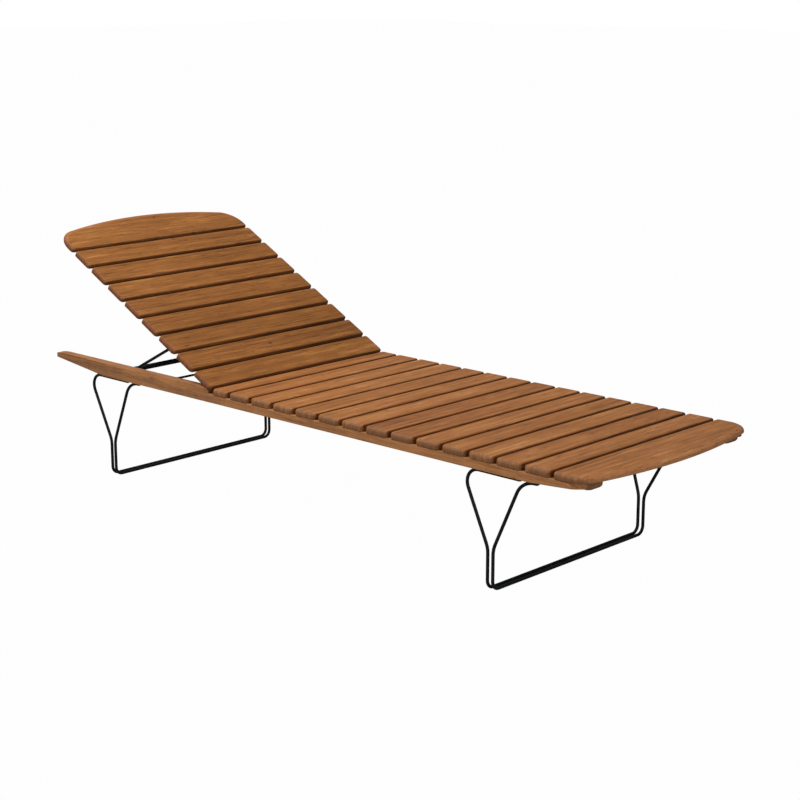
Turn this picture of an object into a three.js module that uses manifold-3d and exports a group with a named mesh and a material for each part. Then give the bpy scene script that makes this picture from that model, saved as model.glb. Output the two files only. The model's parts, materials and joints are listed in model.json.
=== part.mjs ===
import * as THREE from "three";
import { mergeVertices } from "three/addons/utils/BufferGeometryUtils.js";
import Module from "manifold-3d";

// Slatted bamboo sun lounger: millimetres, +Z up, +X to the foot, the floor at zero

// Clearances
const seam = 0.3;
const overrun = 20;

// Seat slats
const seatTop = 324.5;
const slatCount = 15;
const slatThickness = 16;
const slatWidth = 70;
const slatGap = 10;
const slatLength = 630;
const firstSlatWidth = 54.2;
const footBoardReach = 124.6;
const footBowRise = 40;
const footCornerRadius = 55;
const slatEdgeRadius = 4;
const slatEndRadius = 8;
const slatCornerRadius = 8.5;
const slatLowerEase = 0.8;
const bowEdgeDrop = 10.5;
const bowEdgeInset = 20;
const bowUnderRise = 5;
const bowUnderTuck = 14;

// Side rails
const railInset = 0.5;
const railWidth = 26;
const railHeight = 38;
const railHeadReach = 638;
const railFootSetback = 44;
const railHeadTip = 12;
const railHeadDroop = 3;
const railHeadDroopReach = 34;
const railHeadTaper = 206;
const railFootTip = 9.5;
const railFootTaper = 148;
const railFootRound = 9;
const railFootCorner = 68;
const railEase = 2;

// Foot blocks
const footBlockLength = 88;
const footBlockWidth = 56;
const footBlockHeight = 18.5;
const footBlockSetback = 2;
const footBlockCorner = 14;
const footBlockRound = 8;

// Backrest
const backSlatThickness = 13;
const backAngle = THREE.MathUtils.degToRad(27.93);
const hingeSetback = 8.2;
const hingeDrop = 13;
const backSlatCount = 9;
const backSlatPitch = 78.5;
const backSlatWidth = 68.5;
const backSlatMargin = 1;
const backSlatLength = slatLength + 2 * backSlatMargin;
const backToe = 12.7;
const headBoardReach = 118.4;
const headBowRise = 43.2;
const headCornerRadius = 70;
const toePocketDrop = 1.7;

// Battens under the backrest
const battenSetback = 38.5;
const battenWidth = 20;
const battenDepth = 23.7;
const battenTail = 8;
const battenReach = 700;
const battenNotchSide = 2;
const battenNotchRoof = 1.3;

// Hinge
const boltDiameter = 8;
const boltHeadDiameter = 16;
const boltHeadHeight = 3.7;
const boltGrip = 16.5;
const sleeveDiameter = 16;

// Prop
const propPivotReach = 192.3;
const propBarDiameter = 14;
const propBarEndGap = 1.5;
const armDiameter = 8;
const armGap = 2;
const armStub = 17;
const armBend = 7;
const armSocketDepth = 5;

// Racks
const rackWidth = 12.2;
const rackHeight = 16.2;
const rackEnd = 26;
const rackNotchWidth = 10;
const rackNotchDepth = 5;
const rackAngles = [0, 27.93, 40, 50].map(THREE.MathUtils.degToRad);

// Stop rod
const stopRodDiameter = 6;
const stopRodSetback = 170;
const stopRodDrop = 10;
const stopRodSocket = 8;
const stopRodCorner = 22;
const stopRodArm = 50;
const stopRodInset = 6;
const stopNotchSide = 3;

// Legs
const rearLegInset = 204;
const frontLegInset = 319.6;
const legRodDiameter = 8;
const legRodPitch = 15.5;
const legLean = 15.8;
const legFootBend = 20;
const legNeckHeight = 100;
const legNeckBend = 60;
const headRodShoulder = 75;
const headRodShoulderBend = 36;
const headRodEnd = 102;
const footRodShoulder = 101;
const footRodShoulderBend = 60;
const footRodEnd = 150;
const legGrooveDepth = 0.8;
const legPegRise = 22;
const legPegBend = 10;

// Smoothness
const cornerSteps = 3;
const bowSteps = 8;
const edgeSteps = 3;
const bendStep = THREE.MathUtils.degToRad(20);
const rodSides = 8;
const roundSides = 16;

const quarterTurn = Math.PI / 2;
const slatPitch = slatWidth + slatGap;
const bedHeight = seatTop - slatThickness;
const railUnderside = seatTop - railHeight;
const railOuterFace = slatLength / 2 - railInset;
const railInnerFace = railOuterFace - railWidth;
const rebateTop = bedHeight - seam;
const hinge = new THREE.Vector3(-hingeSetback, 0, seatTop - hingeDrop);
const firstSlatHead = slatPitch - slatGap / 2 - firstSlatWidth;
const footBoardHead = (slatCount - 1) * slatPitch + slatGap / 2;
const footCrown = footBoardHead + footBoardReach;
const backUnderside = hingeDrop + seam;
const propReach = 2 * propPivotReach;
const battenPlace = railInnerFace - battenSetback;
const battenOuterFace = battenPlace + battenWidth / 2;
const battenInnerFace = battenPlace - battenWidth / 2;
const boltReach = railInnerFace + boltGrip;
const propBarLength = 2 * (railInnerFace - propBarEndGap);
const armPlace = battenOuterFace + armGap + armDiameter / 2;
const legTopPlane = (railInnerFace + railOuterFace) / 2;
const legFootPlane = legTopPlane - legLean;
const legRodTop = railUnderside - legRodDiameter / 2 + legGrooveDepth;
const rearLegPlace = rearLegInset - railHeadReach;
const frontLegPlace = footCrown - frontLegInset;
const stopRod = new THREE.Vector3(-stopRodSetback, 0, seatTop - stopRodDrop);

const seatBamboo = { color: 0xa5704b, roughness: 0.55, metalness: 0 };
const backBamboo = { color: 0x9b6232, roughness: 0.55, metalness: 0 };
const railBamboo = { color: 0x825838, roughness: 0.6, metalness: 0 };
const blackSteel = { color: 0x161a1c, roughness: 0.4, metalness: 0.6 };

const wasm = await Module();
wasm.setup();

function part(name, geometry, finish) {
  const mesh = new THREE.Mesh(geometry, new THREE.MeshStandardMaterial(finish));
  mesh.name = name;
  return mesh;
}

function solid(geometry) {
  const bare = geometry.clone();
  bare.deleteAttribute("normal");
  bare.deleteAttribute("uv");
  const merged = mergeVertices(bare.index ? bare.toNonIndexed() : bare);
  return new wasm.Manifold(new wasm.Mesh({
    numProp: 3,
    vertProperties: new Float32Array(merged.attributes.position.array),
    triVerts: new Uint32Array(merged.index.array),
  }));
}

function geometryOf(manifold) {
  const mesh = manifold.getMesh();
  const geometry = new THREE.BufferGeometry();
  geometry.setAttribute("position", new THREE.BufferAttribute(new Float32Array(mesh.vertProperties), 3));
  geometry.setIndex(new THREE.BufferAttribute(new Uint32Array(mesh.triVerts), 1));
  geometry.computeVertexNormals();
  return geometry;
}

function without(geometry, cutters) {
  return geometryOf(cutters.reduce((rest, cutter) => rest.subtract(solid(cutter)), solid(geometry)));
}

// A cylinder along Y from one place to another
function crossCylinder(diameter, from, to, x, z) {
  const geometry = new THREE.CylinderGeometry(diameter / 2, diameter / 2, Math.abs(to - from), roundSides);
  return geometry.translate(x, (from + to) / 2, z);
}

// A box from its lowest to its highest corner
function boxBetween(low, high) {
  const geometry = new THREE.BoxGeometry(high.x - low.x, high.y - low.y, high.z - low.z);
  return geometry.translate((low.x + high.x) / 2, (low.y + high.y) / 2, (low.z + high.z) / 2);
}

// A side profile in X and Z, thickened along Y from its middle plane
function sideExtrusion(shape, width, ease) {
  const geometry = new THREE.ExtrudeGeometry(shape, {
    depth: width - 2 * ease,
    bevelEnabled: ease > 0,
    bevelThickness: ease,
    bevelSize: ease,
    bevelOffset: -ease,
    bevelSegments: 2,
    curveSegments: cornerSteps,
  });
  geometry.translate(0, 0, ease - width / 2);
  return geometry.rotateX(quarterTurn);
}

// Places around an arc, each with the direction that faces out of it and its share of the bow's edge
function arc(x, y, radius, from, to, steps, swellFrom = 0, swellTo = swellFrom) {
  return Array.from({ length: steps + 1 }, (_, step) => {
    const share = step / steps;
    const turn = THREE.MathUtils.lerp(from, to, share);
    const outward = new THREE.Vector2(1, 0).rotateAround(new THREE.Vector2(), turn);
    const place = outward.clone().multiplyScalar(radius).add(new THREE.Vector2(x, y));
    return { place, outward, swell: THREE.MathUtils.lerp(swellFrom, swellTo, share) };
  });
}

// A board's outline: a rectangle with round corners
function straightOutline(start, end, halfLength, radius) {
  const side = halfLength - radius;
  return [
    ...arc(start + radius, -side, radius, Math.PI, Math.PI + quarterTurn, cornerSteps),
    ...arc(end - radius, -side, radius, -quarterTurn, 0, cornerSteps),
    ...arc(end - radius, side, radius, 0, quarterTurn, cornerSteps),
    ...arc(start + radius, side, radius, quarterTurn, Math.PI, cornerSteps),
  ];
}

// An end board's outline: its far edge bows out to the crown between two large round corners
function bowedOutline(start, crown, halfLength, bowRise, cornerRadius) {
  const radius = slatCornerRadius;
  const bowRadius = (halfLength ** 2 + bowRise ** 2) / (2 * bowRise);
  const side = halfLength - radius;
  const corner = halfLength - cornerRadius;
  const bow = crown - bowRadius;
  const sweep = Math.asin(corner / (bowRadius - cornerRadius));
  const cornerX = bow + (bowRadius - cornerRadius) * Math.cos(sweep);
  return [
    ...arc(start + radius, -side, radius, Math.PI, Math.PI + quarterTurn, cornerSteps),
    ...arc(cornerX, -corner, cornerRadius, -quarterTurn, -sweep, bowSteps, 0, 1),
    ...arc(bow, 0, bowRadius, -sweep, sweep, bowSteps, 1).slice(1, -1),
    ...arc(cornerX, corner, cornerRadius, sweep, quarterTurn, bowSteps, 1, 0),
    ...arc(start + radius, side, radius, quarterTurn, Math.PI, cornerSteps),
  ];
}

// A slat's edges: rounder at its ends than along its sides, and rolled over widely along a bow
function slatEdge({ outward, swell }) {
  const radius = THREE.MathUtils.lerp(slatEdgeRadius, slatEndRadius, Math.abs(outward.y));
  return {
    drop: THREE.MathUtils.lerp(radius, bowEdgeDrop, swell),
    inset: THREE.MathUtils.lerp(radius, bowEdgeInset, swell),
    rise: THREE.MathUtils.lerp(slatLowerEase, bowUnderRise, swell),
    tuck: THREE.MathUtils.lerp(slatLowerEase, bowUnderTuck, swell),
  };
}

function evenEdge(upper, lower) {
  return { drop: upper, inset: upper, rise: lower, tuck: lower };
}

// A flat board over an outline, its underside at zero, its lower edge eased and its upper edge rounded
function boardGeometry(outline, thickness, edgeAt) {
  const edges = outline.map(edgeAt);
  const ring = (height, inset) => outline.flatMap(({ place, outward }, index) => {
    const drawnIn = inset(edges[index]);
    return [place.x - drawnIn * outward.x, place.y - drawnIn * outward.y, height(edges[index])];
  });
  const rings = [ring(() => 0, ({ tuck }) => tuck), ring(({ rise }) => rise, () => 0)];
  for (let step = 0; step <= edgeSteps; step += 1) {
    const turn = (quarterTurn * step) / edgeSteps;
    rings.push(ring(
      ({ drop }) => thickness - drop * (1 - Math.sin(turn)),
      ({ inset }) => inset * (1 - Math.cos(turn)),
    ));
  }
  const count = outline.length;
  const faces = [];
  for (let level = 0; level + 1 < rings.length; level += 1) {
    for (let here = 0; here < count; here += 1) {
      const next = (here + 1) % count;
      const low = level * count;
      const high = low + count;
      faces.push(low + here, low + next, high + next);
      faces.push(low + here, high + next, high + here);
    }
  }
  const top = (rings.length - 1) * count;
  const caps = THREE.ShapeUtils.triangulateShape(outline.map(({ place }) => place), []);
  for (const [a, b, c] of caps) {
    faces.push(top + a, top + b, top + c);
    faces.push(a, c, b);
  }
  const geometry = new THREE.BufferGeometry();
  geometry.setAttribute("position", new THREE.Float32BufferAttribute(rings.flat(), 3));
  geometry.setIndex(faces);
  geometry.computeVertexNormals();
  return geometry;
}

// A bent rod's centre line: straight runs between corners, each corner turned on its own radius
class RodPath extends THREE.Curve {
  constructor(corners) {
    super();
    this.stops = [];
    corners.forEach(({ place, bend }, index) => {
      const before = corners[index - 1]?.place;
      const after = corners[index + 1]?.place;
      if (!before || !after) {
        const along = before ? place.clone().sub(before) : after.clone().sub(place);
        this.stops.push({ place, along: along.normalize() });
        return;
      }
      this.turn(place, before, after, bend);
    });
  }

  turn(corner, before, after, radius) {
    const incoming = corner.clone().sub(before).normalize();
    const outgoing = after.clone().sub(corner).normalize();
    const angle = incoming.angleTo(outgoing);
    const axis = incoming.clone().cross(outgoing).normalize();
    const start = corner.clone().addScaledVector(incoming, -radius * Math.tan(angle / 2));
    const inward = axis.clone().cross(incoming);
    const centre = start.clone().addScaledVector(inward, radius);
    const steps = Math.max(2, Math.ceil(angle / bendStep));
    for (let step = 0; step <= steps; step += 1) {
      const turned = (angle * step) / steps;
      const spoke = inward.clone().multiplyScalar(-radius).applyAxisAngle(axis, turned);
      this.stops.push({
        place: centre.clone().add(spoke),
        along: incoming.clone().applyAxisAngle(axis, turned),
      });
    }
  }

  getPoint(share) {
    return this.stops[Math.round(share * (this.stops.length - 1))].place.clone();
  }

  getPointAt(share) {
    return this.getPoint(share);
  }

  getTangentAt(share) {
    return this.stops[Math.round(share * (this.stops.length - 1))].along.clone();
  }
}

function rodGeometry(corners, diameter) {
  const path = new RodPath(corners);
  const section = new THREE.Shape().absarc(0, 0, diameter / 2, 0, 2 * Math.PI);
  return new THREE.ExtrudeGeometry(section, {
    extrudePath: path,
    steps: path.stops.length - 1,
    curveSegments: rodSides / 2,
    bevelEnabled: false,
  });
}

// Seat slats from the backrest to the bowed foot board
function seatSlats() {
  return Array.from({ length: slatCount }, (_, index) => {
    const number = index + 1;
    const regularHead = index * slatPitch + slatGap / 2;
    const head = index === 0 ? firstSlatHead : regularHead;
    const foot = regularHead + slatWidth;
    const outline = number === slatCount
      ? bowedOutline(footBoardHead, footCrown, slatLength / 2, footBowRise, footCornerRadius)
      : straightOutline(head, foot, slatLength / 2, slatCornerRadius);
    const geometry = boardGeometry(outline, slatThickness, slatEdge);
    return part(`seat_slat_${number}`, geometry.translate(0, 0, bedHeight), seatBamboo);
  });
}

// A rail's side view: tapered under both ends, drooped at the head tip, rebated for the seat
function railProfile() {
  const head = -railHeadReach;
  const foot = footCrown - railFootSetback;
  const footTipLow = rebateTop - railFootTip;
  const toeAngle = Math.asin(-toePocketDrop / hingeDrop);
  const shape = new THREE.Shape();
  shape.moveTo(head, seatTop - railHeadDroop);
  shape.quadraticCurveTo(head + railHeadDroopReach / 2, seatTop, head + railHeadDroopReach, seatTop);
  shape.lineTo(hinge.x, seatTop);
  shape.absarc(hinge.x, hinge.z, hingeDrop, quarterTurn, toeAngle, true);
  shape.lineTo(firstSlatHead - seam, hinge.z - toePocketDrop);
  shape.lineTo(firstSlatHead - seam, rebateTop);
  shape.lineTo(foot, rebateTop);
  shape.lineTo(foot, footTipLow + railFootTip / 2);
  shape.quadraticCurveTo(foot, footTipLow, foot - railFootRound, footTipLow - railFootTip / 4);
  shape.lineTo(foot - railFootTaper, railUnderside);
  shape.lineTo(head + railHeadTaper, railUnderside);
  shape.lineTo(head, seatTop - railHeadDroop - railHeadTip);
  shape.closePath();
  return shape;
}

// A rail follows the foot board's round corner in plan, and holds the hinge bolt and the stop rod
function railGeometry(side) {
  const middle = side * (railInnerFace + railOuterFace) / 2;
  const blank = sideExtrusion(railProfile(), railWidth, railEase).translate(0, middle, 0);
  const plan = bowedOutline(
    -railHeadReach - overrun, footCrown - railEase, slatLength / 2, footBowRise, railFootCorner,
  );
  const trim = boardGeometry(plan, seatTop + overrun, () => evenEdge(seam, seam));
  const trimmed = geometryOf(solid(blank).intersect(solid(trim)));
  const bore = boltDiameter + 2 * seam;
  const socket = stopRodDiameter + 2 * seam;
  const rodEnd = railInnerFace + stopRodSocket + seam;
  return without(trimmed, [
    crossCylinder(bore, side * (railInnerFace - overrun), side * (boltReach + seam), hinge.x, hinge.z),
    crossCylinder(socket, side * (railInnerFace - overrun), side * rodEnd, stopRod.x - stopRodArm, stopRod.z),
    ...legRodCuts(side),
  ]);
}

// A foot block: it stiffens the foot board's corner, glued inside the rail, its lower edge rounded
function footBlockGeometry(side) {
  const foot = footCrown - railFootSetback - footBlockSetback;
  const plan = straightOutline(foot - footBlockLength, foot, footBlockWidth / 2, footBlockCorner);
  const block = boardGeometry(plan, footBlockHeight, () => evenEdge(footBlockRound, seam)).rotateX(Math.PI);
  return block.translate(0, side * (railInnerFace - seam - footBlockWidth / 2), rebateTop);
}

// The prop bar's place along the rails when the backrest stands at an angle
function propBarPlace(angle) {
  return hinge.x - propReach * Math.cos(angle);
}

// A rack: a notched strip whose teeth stop just below the prop bar
function rackGeometry(side) {
  const teeth = hinge.z - propBarDiameter / 2 - seam;
  const places = rackAngles.map(propBarPlace);
  const shape = new THREE.Shape();
  shape.moveTo(places[0] - rackEnd, teeth - rackHeight);
  shape.lineTo(places[0] - rackEnd, teeth);
  for (const place of places) {
    shape.lineTo(place - rackNotchWidth / 2, teeth);
    shape.quadraticCurveTo(place, teeth - 2 * rackNotchDepth, place + rackNotchWidth / 2, teeth);
  }
  const foot = places[places.length - 1] + rackEnd;
  shape.lineTo(foot, teeth);
  shape.lineTo(foot, teeth - rackHeight);
  shape.closePath();
  const middle = side * (railInnerFace - seam - rackWidth / 2);
  return sideExtrusion(shape, rackWidth, 0).translate(0, middle, 0);
}

// A hinge bolt: its round head against the batten, its shank through the sleeve into the rail
function boltGeometry(side) {
  const head = battenInnerFace - seam - boltHeadHeight;
  const profile = [
    new THREE.Vector2(0, 0),
    new THREE.Vector2(boltHeadDiameter / 2, 0),
    new THREE.Vector2(boltHeadDiameter / 2, boltHeadHeight),
    new THREE.Vector2(boltDiameter / 2, boltHeadHeight),
    new THREE.Vector2(boltDiameter / 2, boltReach - head),
    new THREE.Vector2(0, boltReach - head),
  ];
  const geometry = new THREE.LatheGeometry(profile, roundSides);
  if (side < 0) {
    geometry.rotateX(Math.PI);
  }
  return geometry.translate(hinge.x, side * head, hinge.z);
}

// A spacer sleeve on the bolt between the batten and the rail
function sleeveGeometry(side) {
  const from = battenOuterFace + seam;
  const to = railInnerFace - seam;
  const bore = boltDiameter + 2 * seam;
  const blank = crossCylinder(sleeveDiameter, side * from, side * to, hinge.x, hinge.z);
  return without(blank, [
    crossCylinder(bore, side * (from - overrun), side * (to + overrun), hinge.x, hinge.z),
  ]);
}

// A batten, in the backrest's own frame: X to its foot, Z out of its upper face, the hinge at zero
function battenGeometry(side) {
  const top = hingeDrop;
  const low = new THREE.Vector3(-battenReach, -battenWidth / 2, top - battenDepth);
  const high = new THREE.Vector3(battenTail, battenWidth / 2, top);
  const blank = boxBetween(low, high).translate(0, side * battenPlace, 0);
  const notch = (reach, height, halfWidth, roof) => boxBetween(
    new THREE.Vector3(-reach - halfWidth, side * battenPlace - battenWidth, low.z - overrun),
    new THREE.Vector3(-reach + halfWidth, side * battenPlace + battenWidth, height + roof),
  );
  const barHalf = propBarDiameter / 2;
  const rodHalf = stopRodDiameter / 2 + stopNotchSide;
  const rodHeight = stopRod.z - hinge.z;
  const hingeBore = boltDiameter + 2 * seam;
  const pivotBore = armDiameter + 2 * seam;
  const stubEnd = armPlace - armStub - armDiameter / 2 - seam;
  return without(blank, [
    notch(propReach, 0, barHalf + battenNotchSide, barHalf + battenNotchRoof),
    notch(hinge.x - stopRod.x, rodHeight, rodHalf, rodHalf),
    crossCylinder(hingeBore, side * (battenInnerFace - overrun), side * (battenOuterFace + overrun), 0, 0),
    crossCylinder(pivotBore, side * stubEnd, side * (battenOuterFace + overrun), -propPivotReach, 0),
  ]);
}

function backSlatGeometry(index) {
  const foot = backToe - index * backSlatPitch;
  const halfLength = backSlatLength / 2;
  if (index + 1 < backSlatCount) {
    const outline = straightOutline(foot - backSlatWidth, foot, halfLength, slatCornerRadius);
    return boardGeometry(outline, backSlatThickness, slatEdge);
  }
  const outline = bowedOutline(-foot, headBoardReach - foot, halfLength, headBowRise, headCornerRadius);
  return boardGeometry(outline, backSlatThickness, slatEdge).rotateZ(Math.PI);
}

// The backrest: slats on two battens, turned up about the hinge
function backrest() {
  const group = new THREE.Group();
  group.position.copy(hinge);
  group.rotation.y = backAngle;
  for (let index = 0; index < backSlatCount; index += 1) {
    const geometry = backSlatGeometry(index).translate(0, 0, backUnderside);
    group.add(part(`back_slat_${index + 1}`, geometry, backBamboo));
  }
  group.add(part("batten_near", battenGeometry(-1), railBamboo));
  group.add(part("batten_far", battenGeometry(1), railBamboo));
  return group;
}

// A prop arm, in the prop's own frame: its stub turns in the batten, its rod runs to the bar
function armGeometry(side) {
  const at = (x, y) => new THREE.Vector3(x, side * y, 0);
  const end = propPivotReach - propBarDiameter / 2 + armSocketDepth - seam;
  return rodGeometry([
    { place: at(0, armPlace - armStub) },
    { place: at(0, armPlace), bend: armBend },
    { place: at(-end, armPlace) },
  ], armDiameter);
}

// The prop bar, with a blind socket for each arm
function propBarGeometry() {
  const blank = crossCylinder(propBarDiameter, -propBarLength / 2, propBarLength / 2, -propPivotReach, 0);
  const floor = propBarDiameter / 2 - armSocketDepth;
  const sockets = [-1, 1].map((side) => {
    const radius = armDiameter / 2 + seam;
    const socket = new THREE.CylinderGeometry(radius, radius, overrun, roundSides);
    return socket.rotateZ(quarterTurn).translate(-propPivotReach + floor + overrun / 2, side * armPlace, 0);
  });
  return without(blank, sockets);
}

// The prop, folded out of the backrest by twice its angle
function prop() {
  const group = new THREE.Group();
  const hingeAxis = new THREE.Vector3(0, 1, 0);
  const reach = new THREE.Vector3(-propPivotReach, 0, 0).applyAxisAngle(hingeAxis, backAngle);
  group.position.copy(hinge).add(reach);
  group.rotation.y = -backAngle;
  group.add(part("prop_bar", propBarGeometry(), blackSteel));
  group.add(part("prop_arm_near", armGeometry(-1), blackSteel));
  group.add(part("prop_arm_far", armGeometry(1), blackSteel));
  return group;
}

// A leg rod's corners on one side: its end peg in the rail, the run under it, the neck and the floor
function legRodSide({ end, shoulder, shoulderBend, neck }, sign, pegRise) {
  return [
    { place: new THREE.Vector3(end, sign * legTopPlane, legRodTop + pegRise) },
    { place: new THREE.Vector3(end, sign * legTopPlane, legRodTop), bend: legPegBend },
    { place: new THREE.Vector3(shoulder, sign * legTopPlane, legRodTop), bend: shoulderBend },
    { place: new THREE.Vector3(neck, sign * legFootPlane, legNeckHeight), bend: legNeckBend },
    { place: new THREE.Vector3(neck, sign * legFootPlane, legRodDiameter / 2), bend: legFootBend },
  ];
}

const headRod = {
  end: headRodEnd, shoulder: -headRodShoulder, shoulderBend: headRodShoulderBend, neck: -legRodPitch / 2,
};
const footRod = {
  end: footRodEnd, shoulder: footRodShoulder, shoulderBend: footRodShoulderBend, neck: legRodPitch / 2,
};

function legRodGeometry(rod) {
  const near = legRodSide(rod, -1, legPegRise);
  const far = legRodSide(rod, 1, legPegRise);
  return rodGeometry([...near, ...far.reverse()], legRodDiameter);
}

// The grooves and peg holes that take the leg rods' upper runs in one rail
function legRodCuts(side) {
  return [rearLegPlace, frontLegPlace].flatMap((place) => [headRod, footRod].map((rod) => {
    const path = legRodSide(rod, side, legPegRise + seam);
    return rodGeometry(path, legRodDiameter + 2 * seam).translate(place, 0, 0);
  }));
}

function leg(name, place) {
  const group = new THREE.Group();
  group.position.x = place;
  group.add(part(`${name}_leg_head_rod`, legRodGeometry(headRod), blackSteel));
  group.add(part(`${name}_leg_foot_rod`, legRodGeometry(footRod), blackSteel));
  return group;
}

// Everything fixed on one side: rail, foot block, rack, hinge bolt and sleeve
function sidePieces(sideName, side) {
  return [
    part(`rail_${sideName}`, railGeometry(side), railBamboo),
    part(`foot_block_${sideName}`, footBlockGeometry(side), railBamboo),
    part(`rack_${sideName}`, rackGeometry(side), railBamboo),
    part(`hinge_bolt_${sideName}`, boltGeometry(side), blackSteel),
    part(`hinge_sleeve_${sideName}`, sleeveGeometry(side), blackSteel),
  ];
}

// The stop rod: straight across, turned towards the head along both rails and out into their sockets
function stopRodGeometry() {
  const side = (sign) => {
    const at = (x, reach) => new THREE.Vector3(x, sign * reach, stopRod.z);
    return [
      { place: at(stopRod.x - stopRodArm, railInnerFace + stopRodSocket) },
      { place: at(stopRod.x - stopRodArm, railInnerFace - stopRodInset), bend: stopRodInset },
      { place: at(stopRod.x, railInnerFace - stopRodInset), bend: stopRodCorner },
    ];
  };
  return rodGeometry([...side(-1), ...side(1).reverse()], stopRodDiameter);
}

function lounger() {
  const pieces = new THREE.Group();
  pieces.add(...seatSlats());
  pieces.add(...sidePieces("near", -1), ...sidePieces("far", 1));
  pieces.add(part("stop_rod", stopRodGeometry(), blackSteel));
  pieces.add(backrest(), prop());
  pieces.add(leg("rear", rearLegPlace), leg("front", frontLegPlace));
  return pieces;
}

// The origin is on the floor, under the middle of the lounger's length and width
const model = new THREE.Group();
const pieces = lounger();
pieces.updateMatrixWorld(true);
const bounds = new THREE.Box3().setFromObject(pieces, true);
pieces.position.x = -(bounds.min.x + bounds.max.x) / 2;
model.add(pieces);

export default model;
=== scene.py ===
"""A slatted bamboo sun lounger on bent black wire legs, its backrest propped up, in metres."""

import json
import logging
import math
from dataclasses import dataclass
from enum import Enum

import bmesh
import bpy
import numpy as np
from mathutils import Matrix, Vector


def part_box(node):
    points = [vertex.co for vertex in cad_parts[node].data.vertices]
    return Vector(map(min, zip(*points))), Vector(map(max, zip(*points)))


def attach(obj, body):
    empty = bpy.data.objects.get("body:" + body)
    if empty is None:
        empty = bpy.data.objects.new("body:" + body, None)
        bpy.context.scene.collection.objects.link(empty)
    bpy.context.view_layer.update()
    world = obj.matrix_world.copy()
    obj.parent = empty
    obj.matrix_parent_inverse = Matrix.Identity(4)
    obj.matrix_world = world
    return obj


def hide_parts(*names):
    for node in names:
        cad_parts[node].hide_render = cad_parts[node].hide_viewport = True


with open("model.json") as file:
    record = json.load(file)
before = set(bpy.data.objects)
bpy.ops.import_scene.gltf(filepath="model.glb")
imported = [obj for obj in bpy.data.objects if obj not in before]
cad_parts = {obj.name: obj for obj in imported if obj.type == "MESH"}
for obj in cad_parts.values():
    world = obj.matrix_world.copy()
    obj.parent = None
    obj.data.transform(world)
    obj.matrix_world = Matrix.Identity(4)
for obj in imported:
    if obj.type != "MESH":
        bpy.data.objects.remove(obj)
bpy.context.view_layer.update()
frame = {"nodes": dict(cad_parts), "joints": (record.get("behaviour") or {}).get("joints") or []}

LOG = logging.getLogger("lounger")
MM = 0.001
PHOTO_SIDE = 800
BACK_ANGLE = math.radians(27.93)
MERGE_DISTANCE = 2e-6
FLAT_ANGLE = math.radians(0.5)
NORMAL_WEIGHT = 60
Rgba = tuple[float, float, float, float]


class Body(Enum):
    """The bodies that the pieces ride on."""

    FRAME = "frame"
    BACKREST = "backrest"
    PROP = "prop"


class Slot(Enum):
    """The record's material slots."""

    SEAT = "seat_bamboo"
    BACK = "back_bamboo"
    RAIL = "rail_bamboo"
    STEEL = "black_steel"


def linear(red: float, green: float, blue: float) -> Rgba:
    """Turns a colour written as screen values into linear light.

    Args:
        red: Red from 0 to 255.
        green: Green from 0 to 255.
        blue: Blue from 0 to 255.

    Returns:
        Linear red, green and blue, with full alpha.
    """
    share = np.array([red, green, blue]) / 255
    light = np.where(share <= 0.04045, share / 12.92, ((share + 0.055) / 1.055) ** 2.4)
    return (*light.tolist(), 1.0)


@dataclass(frozen=True)
class Graph:
    """A node tree, and the one way in which nodes are added to it."""

    tree: bpy.types.NodeTree

    def feed(self, value: object, socket: bpy.types.NodeSocket) -> None:
        """Gives an input socket a link or a fixed value.

        Args:
            value: A wrapped socket, a bare output socket, a number or a row of numbers.
            socket: The input socket.
        """
        source = value.value if isinstance(value, Sock) else value
        if isinstance(source, bpy.types.NodeSocket):
            self.tree.links.new(source, socket)
        else:
            socket.default_value = source

    def node(
        self, kind: str, settings: dict[str, object] | None = None,
        inputs: dict[int | str, object] | None = None,
    ) -> bpy.types.Node:
        """Adds a node: its settings are set first, then its sockets' values or links.

        Args:
            kind: The node's type.
            settings: Values of the node's own properties.
            inputs: Values or links, by the input socket's name or number.

        Returns:
            The node.
        """
        made = self.tree.nodes.new(kind)
        for name, value in (settings or {}).items():
            setattr(made, name, value)
        for name, value in (inputs or {}).items():
            self.feed(value, made.inputs[name])
        return made


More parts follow.
